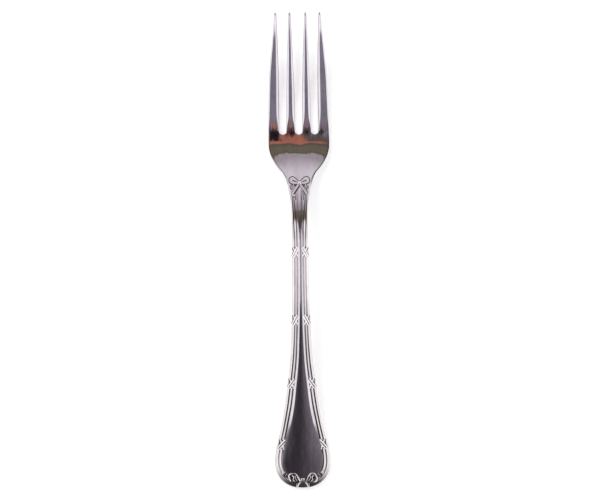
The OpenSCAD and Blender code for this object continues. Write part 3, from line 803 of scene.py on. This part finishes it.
def neckSolid():
    t = np.linspace(0, 1, neck["rows"] + 1)[:, None]
    y = blend(handleY, palmY, t)
    hx = halfWidth(y)
    near = np.array(neck["nearRim"])[None, :]
    rest = (hx - near[0, -1]) * np.linspace(1, 0, neck["columns"] + 1)[None, 1:]
    half = np.concatenate([hx - near, rest], axis=1)
    x = bothSides(half, -half)
    d = hx - np.abs(x)
    late = eased(t)
    drop = blend(plainEdge(d), bevelDrop(d, head["palmBevel"]), late)
    top = topZ(x, y) - drop
    rise = blend(fork["underRise"], 0, late) * (np.abs(x) / hx) ** blend(*neck["underPower"], t)
    under = underZ(x, y, rise + roundOff(d, blend(edgeForm["underRound"], fork["underBevel"], t)))
    # painted shade along the rim, growing towards the palm
    paintedShadeMask = rimLine(d, x) * eased((t - neck["rimStart"][0]) / neck["rimStart"][1])
    along = eased(1 - (y - handleY) / neck["streakLength"])
    for place, strength in neck["streaks"]:
        paintedShadeMask = np.maximum(paintedShadeMask, np.exp(-(((x - place) / neck["streakWidth"]) ** 2)) * strength * along)
    return plate(x, y, top, under, paintedShadeMask)


ringPiece("neck_shank", [neckSolid()], "neck", steel)
print("stage: neck")


def innerTine(t):
    middle = blend(head["slotPitch"] / 2, head["innerTip"], t)
    w = blend(head["tipWidth"], head["slotPitch"] - head["slotWidth"], curve(innerNarrow, t))
    bevel = curve(head["innerBevel"], t)
    return middle - w / 2, middle + w / 2, bevel, bevel


def outerTine(t):
    inside = blend(head["slotPitch"] + head["slotWidth"] / 2, head["outerTip"] - head["tipWidth"] / 2,
                   curve(outerInside, t))
    outside = blend(fork["headWidth"] / 2, head["outerTip"] + head["tipWidth"] / 2, curve(outerOutside, t))
    return inside, outside, curve(head["insideBevel"], t), curve(head["outsideBevel"], t)


# places across a bevel, from the rim to just past its crease
def bevelPlaces(width):
    near = np.array([0, 0.012, 0.04, 0.1])[None, :]
    slope = width * np.array([0.45, 0.7])[None, :]
    crease = width + np.array([-0.015, 0.015])[None, :]
    return np.concatenate([np.repeat(near, len(width), 0), slope, crease], axis=1)


def tineSolid(edges):
    split = head["tipRound"]
    rows, tipRows = head["tineRows"]
    t = np.concatenate([np.linspace(0, split, rows),
                        split + (1 - split) * np.sin(np.linspace(0, math.pi / 2, tipRows))[1:]])
    t = t[:, None]
    y = rootY + fork["tineLength"] * t
    inside, outside, bevelIn, bevelOut = edges(np.minimum(t, split))
    w = outside - inside
    bevelIn = np.minimum(bevelIn, w * head["mostBevel"])
    bevelOut = np.minimum(bevelOut, w * head["mostBevel"])
    left = bevelPlaces(bevelIn)
    right = w - bevelPlaces(bevelOut)[:, ::-1]
    flat = blend(left[:, -1:], right[:, :1], np.linspace(0, 1, 6)[None, 1:-1])
    across = np.concatenate([left, flat, right], axis=1)
    tip = np.clip((t - split) / (1 - split), 0, 1)
    swell = np.maximum(np.sqrt(np.maximum(0, 1 - tip**2)), head["tipSwell"])
    x = (inside + outside) / 2 + (across - w / 2) * swell
    isLeft = across < w / 2
    d = np.where(isLeft, across, w - across)
    drop = bevelDrop(d, np.where(isLeft, bevelIn, bevelOut))
    thickHere = curve(thicknessView, y)
    mid = topZ(x, y) - thickHere / 2
    top = mid + (thickHere / 2 - drop) * swell
    under = np.maximum(0, mid - (thickHere / 2 - roundOff(d, fork["underBevel"])) * swell)
    return plate(x, y, top, under)


for sideName, mirrored in sides:
    for kind, edges in (("inner", innerTine), ("outer", outerTine)):
        node = "tine_" + kind + "_" + sideName
        ringPiece(node + "_prong", [tineSolid(edges)], node, steel, mirrored)
print("stage: tines")


# distance of a point of the palm from its outline: the sides and the round slot bottoms
def palmDistance(x, y):
    d = halfWidth(y) - np.abs(x)
    for slot in (-1, 0, 1):
        d = np.minimum(d, np.hypot(x - slot * head["slotPitch"], y - rootY) - head["slotWidth"] / 2)
    return np.maximum(0, d)


def palmColumns():
    near = np.array(head["nearRim"])

    def tine(edges):
        a, b = edges[:2]
        flat = np.linspace(a + near[-1], b - near[-1], head["palmFlat"])[1:-1]
        return [(x, rootY) for x in np.concatenate([a + near, flat, (b - near)[::-1]])]

    def slot(x):
        angles = rad(np.linspace(-90, 90, head["slotColumns"])[1:-1])
        r = head["slotWidth"] / 2
        return [(x + r * math.sin(a), rootY - r * math.cos(a)) for a in angles]

    right = tine(innerTine(0.0)) + slot(head["slotPitch"]) + tine(outerTine(0.0))
    return np.array([(-x, y) for x, y in right[::-1]] + slot(0) + right)


def palmSolid():
    ends = palmColumns()
    endX = ends[None, :, 0]
    endY = ends[None, :, 1]
    near = np.array([*head["nearRim"], 0.3, 0.55])
    v = np.concatenate([np.linspace(0, 1 - 1.0 / fork["palmLength"], head["palmRows"]),
                        1 - near[::-1] / fork["palmLength"]])[:, None]
    y = blend(palmY, endY, v)
    x = halfWidth(y) * blend(2 * endX / fork["headWidth"], endX / halfWidth(endY), v)
    d = palmDistance(x, y)
    z = topZ(x, y)
    top = z - bevelDrop(d, head["palmBevel"])
    under = np.maximum(0, z - curve(thicknessView, y) + roundOff(d, fork["underBevel"]))
    sideways = halfWidth(y) - np.abs(x)
    # painted shade along the sides of the palm, fading out towards the tines
    paintedShadeMask = rimLine(sideways, x) * eased((rootY - y) / 4)
    return plate(x, y, top, under, paintedShadeMask)


ringPiece("palm_bowl", [palmSolid()], "palm", steel, strips=True)
print("stage: palm")

# the knot of a bow is half width, foot, head and height; a ribbon is side, path, rows, widths, height,
# hems, crown and painted shade; all but the hems are shares of the width or the height of the bow
neckBow = {
    "place": 7.5,  # from the start of the neck to the knot
    "width": 9.4,
    "height": 0.3,
    "knot": (0.077, -0.087, 0.097, 1.5),
    "ribbons": [
        ("both", "drape", 50, [0.03], 0.8, (0.16, 0.26), 0.6, 0.2),
        ("both", "crumple", 40, [0.042], 0.8, (0.16, 0.16), 0.6, 0.2),
        ("right", "loop", 110, [0.05, 0.1, 0.14, 0.14, 0.13, 0.11, 0.06], 1, (0.38, 0.02), 0.06, 0.2),
        ("left", "loop", 110, [0.05, 0.1, 0.14, 0.14, 0.13, 0.11, 0.06], 1, (0.02, 0.38), 0.06, 0.2),
        ("both", "slit", 30, [0.02 / 9.4], 1.05, (0.16, 0.16), 0.06, 1.0),
        ("right", "tail", 60, [0.085, 0.09775, 0.1105], 1, (0.34, 0.2), 0.06, 0.2),
        ("right", "pleat", 30, [0.039], 1, (0.1, 0.2), 0.8, 0.2),
        ("right", "curl", 100, [0.085, 0.085, 0.0765, 0.085], 1, (0.6, 0.22), 0.1, 0.2),
    ],
}
endBow = {
    "place": 3.5,  # from the round end to the knot
    "width": 12.8,
    "height": 0.42,
    "knot": (0.06, -0.04, 0.06, 0.9),
    "ribbons": [
        ("both", "hollow", 40, [0.096, 0.156, 0.096], 0.3, (0.16, 0.16), 0.7, 1.0),
        ("right", "rightLoop", 120, [0.024, 0.036, 0.06, 0.042, 0.06, 0.072, 0.042], 1, (0.16, 0.16),
         0.7, 0),
        ("left", "leftLoop", 120, [0.06, 0.066, 0.036, 0.03, 0.054, 0.066, 0.048], 1, (0.16, 0.16),
         0.7, 0),
        ("both", "fold", 30, [0.042, 0.03], 0.8, (0.2, 0.3), 0.7, 0),
        ("both", "pucker", 30, [0.03, 0.024], 0.7, (0.2, 0.3), 0.7, 0),
        ("right", "arch", 60, [0.054, 0.042, 0.054], 1, (0.1, 0.1), 0.7, 0.8),
    ],
}
# paths of the ribbons, as shares of the width of the bow, from the middle of the knot
neckPaths = {
    "loop": [[0.05, 0.02], [0.14, 0.085], [0.24, 0.165], [0.325, 0.195], [0.385, 0.15], [0.38, 0.06],
             [0.29, 0.01], [0.17, -0.02], [0.06, -0.04]],
    "slit": [[0.13, 0.035], [0.22, 0.075], [0.33, 0.1]],
    "drape": [[0.13, -0.14], [0.24, -0.14], [0.35, -0.12], [0.4, -0.2], [0.34, -0.32]],
    "tail": [[0.042, -0.087], [0.115, -0.185], [0.2, -0.31], [0.29, -0.44], [0.335, -0.53]],
    "crumple": [[0.27, -0.06], [0.3, -0.2], [0.26, -0.3]],
    "pleat": [[0.1, -0.35], [0.185, -0.46], [0.255, -0.57]],
    "curl": [[-0.042, -0.087], [-0.112, -0.19], [-0.205, -0.33], [-0.29, -0.46], [-0.32, -0.55],
             [-0.275, -0.61], [-0.215, -0.585], [-0.225, -0.53]],
}
endPaths = {
    "leftLoop": [[0.085, -0.05], [0.14, 0.04], [0.195, 0.14], [0.24, 0.2], [0.32, 0.215], [0.42, 0.195],
                 [0.475, 0.14], [0.455, 0.04], [0.41, -0.05]],
    "rightLoop": [[0.1, -0.06], [0.15, 0.02], [0.19, 0.11], [0.26, 0.195], [0.34, 0.215], [0.41, 0.19],
                  [0.455, 0.11], [0.485, 0.03], [0.43, -0.06], [0.35, -0.08]],
    "hollow": [[0.17, -0.03], [0.25, 0.05], [0.33, 0.08], [0.4, 0.05]],
    "fold": [[0.36, 0.15], [0.31, 0.08], [0.33, 0.0], [0.27, -0.06]],
    "pucker": [[0.26, 0.14], [0.25, 0.05], [0.19, -0.04]],
    "arch": [[-0.185, -0.245], [-0.15, -0.165], [-0.085, -0.09], [0, -0.06], [0.085, -0.09],
             [0.15, -0.165], [0.185, -0.245]],
}


# a smooth path through points in the plan
def smoothPath(points, rows):
    points = np.asarray(points, float)
    n = len(points) - 1
    before = 2 * points[0] - points[1]
    after = 2 * points[-1] - points[-2]
    ring = np.concatenate([[before], points, [after]])
    t = np.linspace(0, n, rows + 1)
    i = np.minimum(n - 1, np.floor(t).astype(int))
    u = (t - i)[:, None]
    a, b, c, d = ring[i], ring[i + 1], ring[i + 2], ring[i + 3]
    bend = (2 * a - 5 * b + 4 * c - d) * u**2 / 2 + (3 * b - a - 3 * c + d) * u**3 / 2
    return b + (c - a) * u / 2 + bend


# how the edge of a ribbon meets the metal under it
hem = {
    "rise": 0.03,
    "fall": 0.1,
    "inner": 0.02,
    "outer": 0.03,
    "depth": 0.3,  # how deep a ribbon goes into the metal
    # painted shade across the ribbon: dark on its hems
    "paintedShadeMask": [1, 1, 1, 0.35, 0, 0, 0, 0, 0, 0, 0, 0.35, 1, 1, 1],
}


# one ribbon over a surface, with a low hem of painted shade on each side of its bright band
def ribbonSolid(path, widths, height, surface, hems, crown, shadeLevel=0.0):
    step = np.gradient(path, axis=0)
    step /= np.linalg.norm(step, axis=1)[:, None]
    right = np.stack([step[:, 1], -step[:, 0]], axis=1)
    half = np.interp(np.linspace(0, 1, len(path)), np.linspace(0, 1, len(widths)), widths)[:, None] / 2
    u = np.sin(np.linspace(-1, 1, 9) * math.pi / 2)[None, :]
    left = -half - np.array([hems[0], hems[0] - hem["outer"], hem["inner"]])[None, :]
    far = half + np.array([hem["inner"], hems[1] - hem["outer"], hems[1]])[None, :]
    across = np.concatenate([left, half * u * 0.97, far], axis=1)
    isDark = np.min(shadeLevel) == 1     # a dark line has no hem: it is level with its band
    low = max(hem["rise"], height * 0.99) if isDark else hem["rise"]
    profile = np.full((len(path), across.shape[1]), low)
    profile[:, [0, -1]] = low - hem["rise"] - hem["fall"]
    profile[:, 3:-3] = np.reshape(height, (-1, 1)) * (1 - crown * u**2)
    p = path[:, None, :] + right[:, None, :] * across[..., None]
    ground = surface(p[..., 0], p[..., 1])
    paintedShadeMask = np.maximum(np.array(hem["paintedShadeMask"])[None, :], np.reshape(shadeLevel, (-1, 1)))
    return closeRings(lifted(p, ground + profile), lifted(p, ground - hem["depth"]), paintedShadeMask)


def knotSolid(middle, size, height, share):
    rows = 12
    u = np.linspace(-1, 1, rows + 1)[None, :]
    v = np.linspace(0, 1, rows + 1)[:, None]
    x = middle[0] + size * share[0] * u
    y = middle[1] + size * blend(share[1], share[2], v)
    ground = topZ(x, y)
    w = 2 * v - 1
    dome = np.sqrt(np.maximum(0, 1 - u**4)) * np.sqrt(np.maximum(0, 1 - w**4))
    top = ground - hem["fall"] + (height * share[3] + hem["fall"]) * dome
    # painted shade round the edges of the knot
    paintedShadeMask = np.clip(np.maximum(u**8, w**8), 0, 1)
    return plate(x, y, top, ground - hem["depth"], paintedShadeMask)


def makeBow(name, node, bow, paths, start):
    middle = [0, start + bow["place"]]
    size = bow["width"]
    solids = []
    for side, sideName in ((1, "right"), (-1, "left")):
        for where, key, rows, widths, height, hems, crown, shadeLevel in bow["ribbons"]:
            if where not in ("both", sideName):
                continue
            if key == "arch":     # painted shade in its middle only
                shadeLevel = shadeLevel * (1 - eased((np.abs(np.linspace(-1, 1, rows + 1)) - 0.25) / 0.2))
            path = smoothPath(np.array(paths[key]) * size * np.array([side, 1]) + np.array(middle), rows)
            widths = size * np.array(widths)
            solids.append(ribbonSolid(path, widths, height * bow["height"], topZ, hems, crown, shadeLevel))
    solids.append(knotSolid(middle, size, bow["height"], bow["knot"]))
    ringPiece(name, solids, node, ornament)


makeBow("neck_ribbon_bow", "neck_bow", neckBow, neckPaths, handleY)
makeBow("end_ribbon_bow", "end_bow", endBow, endPaths, 0)

tie = {
    "over": 1.55,  # width of the ribbon on top
    "under": 0.75,
    "slit": 0.5,  # line of painted shade along the ribbon on top
    "slitCut": 4,  # rows that it is shorter by at both ends
    "height": 0.36,
    "lowShare": 0.4,  # height of the lower ribbon at the crossing, and what it gains beside it
    "lowRise": 0.55,
    "sunk": 0.32,  # below the plain metal
    "crown": 0.6,
    "slitCrown": 0.25,
    "overHems": (0.2, 0.36),
    "underHems": (0.3, 0.36),
    "slitHems": (0.08, 0.08),
    "start": (0.78, 0.07),  # shares of the width of the border and of the length of the tie
    "stop": (0.19, 0.93),
    "rows": 41,
}


def borderPoint(y, share):
    stations = sideStations(np.atleast_1d(np.asarray(y, float)))
    return stations["rim"] + stations["inward"] * (stations["w"] * share)


def tieSurface(x, y):
    return topZ(x, y) - tie["sunk"]


# the second ribbon of each crossing lies over the first
def tieSolids():
    solids = []
    t = np.linspace(0, 1, tie["rows"])
    low = tie["lowShare"] + tie["lowRise"] * eased((np.abs(t - 0.5) * 2 - 0.3) / 0.3)
    for middle in tieMiddles:
        top = middle + border["tieLength"] / 2
        y = top - border["tieLength"] * blend(tie["start"][1], tie["stop"][1], t)
        for kind, along, share in (("under", 1 - t, low), ("over", t, np.ones_like(t))):
            places = zip(y, blend(tie["start"][0], tie["stop"][0], along))
            path = np.concatenate([borderPoint(*place) for place in places])
            solids.append(ribbonSolid(path, [tie[kind]], tie["height"] * share, tieSurface,
                                      tie[kind + "Hems"], tie["crown"]))
        # a line of painted shade along the ribbon on top
        line = path[tie["slitCut"]:-tie["slitCut"]]
        solids.append(ribbonSolid(line, [tie["slit"]], tie["height"], tieSurface, tie["slitHems"],
                                  tie["slitCrown"], 1.0))
    return solids


for sideName, mirrored in sides:
    node = "ribbon_ties_" + sideName
    ringPiece(node + "_cross", tieSolids(), node, ornament, mirrored)
print("stage: bows and ties")

# lengths in metres
studio = {
    "floorSize": 3.0,
    "floorColour": (0.93, 0.93, 0.93, 1),
    "floorRough": 0.9,
    "floorGlow": 0.26,
    "worldGlow": 0.55,  # light on matt things
    "keyPlace": (-0.9, 0.9, 1.3),
    "keySize": 1.0,
    "keyPower": 14.0,
    "fillPlace": (1.1, -0.3, 1.2),
    "fillSize": 1.2,
    "fillPower": 7.0,
    "ringRadius": 1.2,
    "ringCount": 48,
    "ringTint": 0.95,
    "ringGreys": [(-0.02, 0.10), (0.14, 0.16), (0.3, 0.35), (0.6, 0.8)],  # height and grey
    "distance": 2.2,
    "aimHeight": 0.008,  # the distance counts from here
    "sensor": 36,
    "pictureWidth": 600,
    "pixelsPerMm": 2.322,
    "lookAt": (-0.07, 0.2),  # millimetres
    "roll": -0.686,
}
# the paints of the glowing canopy, which the metal shows as painted reflections
paint = {
    "black": (0.01, 0.009, 0.01),
    "slate": (0.098, 0.088, 0.10),
    "umber": (0.12, 0.102, 0.085),
    "olive": (0.165, 0.148, 0.10),
    "rust": (0.45, 0.17, 0.115),
    "grey": (0.24, 0.225, 0.265),
    "lilac": (0.36, 0.295, 0.34),
    "mist": (0.41, 0.37, 0.38),
    "pearl": (0.73, 0.69, 0.73),
    "white": (1.0, 1.0, 1.0),
}
# the canopy over the table that the metal mirrors, in millimetres, with y from the middle of the fork
canopy = {
    "height": 120,
    "rows": [(-600, 350, 140), (-70, 110, 240), (43, 55, 121), (93, 102, 37)],
    "columns": [(-450, 450, 61), (-60, 60, 81), (-20, 20, 161)],
    "sideGlow": 1.16,
    "farGlow": 0.42,  # share of its brightness far from the fork, mirrored in low views only
    "farPlace": 210,
    "farLength": 160,
    "flip": 1.48,  # the dish of the head mirrors left and right, this much larger
    "speckle": 0.2,  # mottling of the paint over the tines
    # paint by place along the fork
    "bands": [
        (-600, "slate"), (-50, "slate"), (-20, "lilac"), (6, "lilac"), (16, "grey"), (49.4, "grey"),
        (50.6, "rust"), (56, "rust"), (58, "umber"), (69, "olive"), (85, "olive"), (90.4, "umber"),
        (91.8, "mist"), (102, "mist"), (145, "pearl"), (220, "white"), (350, "white"),
    ],
    # where the bands wave, and how far they stand higher over the stem
    "wavy": {"start": 52, "length": 8, "rise": 6.0, "half": 4.5},
    # place along the fork, half width of the painted middle and of its soft border
    "middle": [(-58, 24, 14), (-50, 12, 14), (-46, 1.5, 10), (9, 1.5, 10), (17, 20, 30)],
    # over the panel the canopy is darkest a little left of its middle
    "panelShade": {"start": -52, "place": -5.0, "low": 0.38, "high": 2.2, "reach": 22.0},
    # patches by place: from and to along the fork, from and to across it, softness and paint
    "patches": [
        (44.8, 46.5, -11.3, -9.2, 0.5, "rust"),
        (44.8, 46.5, -4.4, -3.0, 0.4, "rust"),
        (44.4, 46.7, 2.1, 3.0, 0.3, "rust"),
        (45.1, 46.8, 9.3, 10.0, 0.3, "rust"),
        (47.9, 53, -9.0, 3.2, 0.5, "rust"),
        (48.2, 51.5, 2.8, 11.0, 0.4, "umber"),
        (46.5, 49.9, -13, -7.6, 0.4, "black"),
        (46.4, 48.3, -5.5, -1.0, 0.3, "black"),
        (46.4, 48.3, 1.6, 4.5, 0.3, "black"),
        (46.5, 48.3, 8.2, 10.3, 0.3, "black"),
        (49, 100, 10.6, 16, 0.5, "umber"),
    ],
}


# value in one column of a table at a place
def valueAt(rows, column, place):
    return np.interp(place, [row[0] for row in rows], [row[column] for row in rows])


# colour of the canopy: bands and patches in its middle, bright towards both sides
def canopyColour(x, y):
    across = -x / canopy["flip"]
    wavy = canopy["wavy"]
    wave = 1.2 * np.sin(across * 0.8 + 1) + 0.8 * np.sin(across * 1.9)
    wave = wave + wavy["rise"] * np.exp(-((x / wavy["half"]) ** 4))
    band = y - wave * eased((y - wavy["start"]) / wavy["length"])
    bands = [(place, *paint[tone]) for place, tone in canopy["bands"]]
    colour = np.stack([valueAt(bands, c, band) for c in (1, 2, 3)], 2)
    ragged = y + 0.3 * np.sin(across * 2.9 + 1) + 0.2 * np.sin(across * 6.7)
    slanted = across + 0.5 * np.sin(y * 2.1) + 0.25 * np.sin(y * 5.3 + across)
    for start, stop, left, right, soft, tone in canopy["patches"]:
        inside = eased((ragged - start) / 0.5 + 0.5) * eased((stop - ragged) / 0.5 + 0.5)
        inside = inside * eased((slanted - left) / soft + 0.5) * eased((right - slanted) / soft + 0.5)
        colour = colour + (np.array(paint[tone]) - colour) * inside[..., None]
    speckle = np.sin(x * 1.3 + 2 * np.sin(y * 0.7)) * np.sin(y * 1.1 + 2 * np.sin(x * 0.6))
    speckle = canopy["speckle"] * speckle * eased((y - 8) / 8) * eased((52 - y) / 4)
    shade = canopy["panelShade"]
    glow = blend(shade["low"], shade["high"], eased(np.abs(x - shade["place"]) / shade["reach"]))
    glow = 1 + (glow - 1) * eased((shade["start"] - y) / 8)
    colour = colour * ((1 + speckle) * glow)[..., None]
    out = (np.abs(x) - valueAt(canopy["middle"], 1, y)) / valueAt(canopy["middle"], 2, y)
    colour = colour + (canopy["sideGlow"] - colour) * (eased(out) ** 0.8)[..., None]
    far = eased((np.hypot(x, y) - canopy["farPlace"]) / canopy["farLength"])
    return colour * blend(1, canopy["farGlow"], far)[..., None]


def glowMaterial(name):
    material, nodes, links = newNodes(bpy.data.materials, name)
    nodes.clear()
    out = nodes.new("ShaderNodeOutputMaterial")
    glow = nodes.new("ShaderNodeEmission")
    colour = nodes.new("ShaderNodeAttribute")
    colour.attribute_name = "bands"
    links.new(colour.outputs["Color"], glow.inputs["Color"])
    links.new(glow.outputs[0], out.inputs[0])
    return material


# something bright that only the metal mirrors
def makeGlow(name, points, faces, colours):
    mesh = bpy.data.meshes.new(name)
    mesh.from_pydata(points, [], faces)
    layer = mesh.color_attributes.new("bands", "FLOAT_COLOR", "POINT")
    layer.data.foreach_set("color", np.asarray(colours, np.float32).reshape(-1))
    mesh.materials.append(glowMaterial(name + "_cloth"))
    thing = addThing(name, mesh)
    thing.visible_camera = False
    thing.visible_shadow = False
    thing.visible_diffuse = False
    thing.visible_transmission = False


def makeCanopy():
    spans = [[np.linspace(*span) for span in canopy[key]] for key in ("columns", "rows")]
    xs, ys = [np.unique(np.concatenate(span)) for span in spans]
    x, y = np.meshgrid(xs, ys)
    points = np.stack([x, y, np.full_like(x, canopy["height"])], axis=2).reshape(-1, 3) * mm
    colours = np.concatenate([canopyColour(x, y).reshape(-1, 3), np.ones((len(points), 1))], axis=1)
    makeGlow("canopy", points.tolist(), gridFaces(len(ys), len(xs), closed=False), colours)


# a grey ring round the table near the horizon, mirrored by steep edges and in low views
def makeHorizon():
    count = studio["ringCount"]
    radius = studio["ringRadius"]
    points = []
    colours = []
    for z, grey in studio["ringGreys"]:
        for i in range(count):
            a = 2 * math.pi * i / count
            points.append((radius * math.cos(a), radius * math.sin(a), z))
            colours.append((grey, grey * studio["ringTint"], grey, 1))
    makeGlow("horizon", points, gridFaces(len(studio["ringGreys"]), count), colours)


def makeWorld(scene):
    scene.world, nodes, links = newNodes(bpy.data.worlds, "studio_world")
    nodes.clear()
    out = nodes.new("ShaderNodeOutputWorld")
    ray = nodes.new("ShaderNodeLightPath")
    mix = nodes.new("ShaderNodeMixShader")
    for socket, strength in ((1, studio["worldGlow"]), (2, 1.0)):
        glow = nodes.new("ShaderNodeBackground")
        glow.inputs["Color"].default_value = (1, 1, 1, 1)
        glow.inputs["Strength"].default_value = strength
        links.new(glow.outputs[0], mix.inputs[socket])
    seenBy = ray.outputs["Is Camera Ray"]
    for kind in ("Is Glossy Ray", "Is Transmission Ray"):
        either = nodes.new("ShaderNodeMath")
        either.operation = "MAXIMUM"
        links.new(seenBy, either.inputs[0])
        links.new(ray.outputs[kind], either.inputs[1])
        seenBy = either.outputs[0]
    links.new(seenBy, mix.inputs[0])
    links.new(mix.outputs[0], out.inputs[0])


# pale floor that keeps the soft shadow of the fork
def makeFloor():
    material, nodes = newNodes(bpy.data.materials, "pale_floor")[:2]
    shader = nodes["Principled BSDF"]
    shader.inputs["Base Color"].default_value = studio["floorColour"]
    shader.inputs["Roughness"].default_value = studio["floorRough"]
    shader.inputs["Emission Color"].default_value = (1, 1, 1, 1)
    shader.inputs["Emission Strength"].default_value = studio["floorGlow"]
    half = studio["floorSize"] / 2
    corners = [(-half, -half, 0), (half, -half, 0), (half, half, 0), (-half, half, 0)]
    mesh = bpy.data.meshes.new("floor")
    mesh.from_pydata(corners, [], [(0, 1, 2, 3)])
    mesh.materials.append(material)
    floor = addThing("floor", mesh)


def makeLamp(name, place, size, power):
    lamp = bpy.data.lights.new(name, "AREA")
    lamp.size = size
    lamp.energy = power
    thing = addThing(name, lamp)
    thing.location = place
    aim = addThing(name + "_aim", None)
    track = thing.constraints.new("TRACK_TO")
    track.target = aim


def makeCamera(scene):
    camera = bpy.data.cameras.new("camera")
    camera.sensor_width = studio["sensor"]
    seen = studio["pictureWidth"] / studio["pixelsPerMm"] * mm
    camera.lens = studio["sensor"] * studio["distance"] / seen
    camera.clip_end = 20
    eye = addThing("camera", camera)
    x, y = studio["lookAt"]
    eye.location = (x * mm, y * mm, studio["distance"] + studio["aimHeight"])
    eye.rotation_euler = (0, 0, rad(studio["roll"]))
    scene.camera = eye


scene = bpy.context.scene
scene.view_settings.view_transform = "Standard"
makeWorld(scene)
makeFloor()
makeCanopy()
makeHorizon()
makeLamp("key_lamp", studio["keyPlace"], studio["keySize"], studio["keyPower"])
makeLamp("fill_lamp", studio["fillPlace"], studio["fillSize"], studio["fillPower"])
makeCamera(scene)
print("stage: studio")
